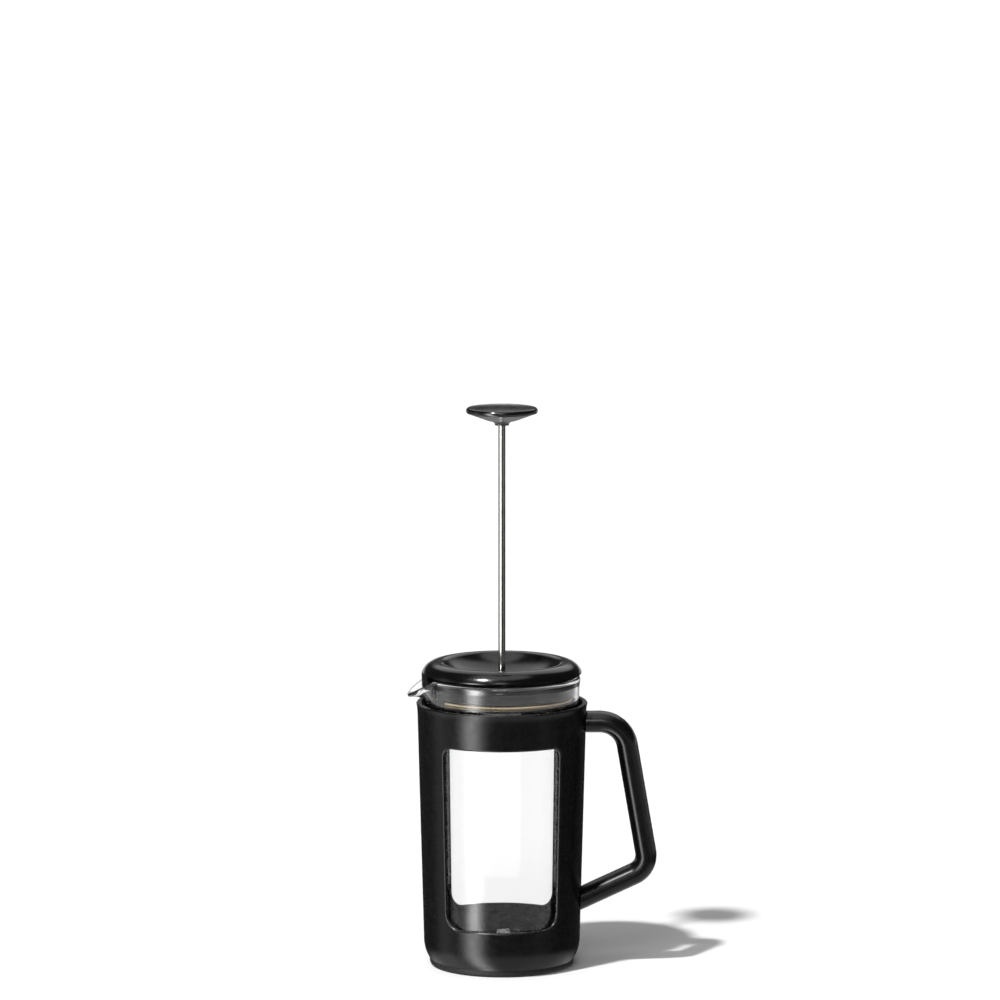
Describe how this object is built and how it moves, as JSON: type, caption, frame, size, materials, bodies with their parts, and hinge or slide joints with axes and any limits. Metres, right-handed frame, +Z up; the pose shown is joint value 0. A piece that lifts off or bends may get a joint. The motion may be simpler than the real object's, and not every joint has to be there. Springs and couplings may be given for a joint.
{
  "type": "french press",
  "caption": "French press with a glass beaker in a black window frame with a handle, a dished lid with a pouring strainer, and a disc-knobbed plunger with a spring-edged filter.",
  "frame": {"origin": "on the vertical axis of the beaker, at the face of the foot pad", "axes": "+Z up along the rod, +X towards the handle, -X towards the spout"},
  "size_m": [0.1595, 0.1094, 0.36],
  "materials": {
    "satin_black_plastic": "satin moulded",
    "gloss_black_plastic": "glossy moulded",
    "lid_black_plastic": "semi-gloss moulded",
    "knob_base_plastic": "satin moulded",
    "foot_rubber": "matte",
    "clear_glass": "clear, fire polished",
    "stainless_steel": "bright rolled",
    "polished_rod": "polished",
    "filter_edge": "champagne, bright",
    "filter_mesh": "woven",
    "brass_insert": "machined"
  },
  "bodies": {
    "frame": {"frame_shell": "satin_black_plastic", "handle": "satin_black_plastic", "handle_screw_high": "stainless_steel", "handle_screw_low": "stainless_steel", "foot_pad": "foot_rubber"},
    "carafe": {"glass_carafe": "clear_glass"},
    "lid": {"lid_cover": "gloss_black_plastic", "lid_body": "lid_black_plastic", "spout_louvre": "lid_black_plastic", "strainer_panel": "lid_black_plastic", "rod_bush": "lid_black_plastic"},
    "plunger": {"knob_cap": "gloss_black_plastic", "knob_base": "knob_base_plastic", "knob_insert": "brass_insert", "rod": "polished_rod", "rod_collar": "stainless_steel", "spring_plate": "stainless_steel", "edge_spring": "filter_edge", "mesh_screen": "filter_mesh", "cross_plate": "lid_black_plastic", "hub_nut": "stainless_steel"}
  },
  "joints": [
    {"name": "carafe_lift", "type": "slide", "parent": "frame", "child": "carafe", "axis": [0, 0, 1], "range_m": [0, 0.191]},
    {"name": "lid_lift", "type": "slide", "parent": "carafe", "child": "lid", "axis": [0, 0, 1], "range_m": [0, 0.0455]},
    {"name": "plunger_slide", "type": "slide", "parent": "lid", "child": "plunger", "axis": [0, 0, 1], "range_m": [-0.155, 0]}
  ]
}
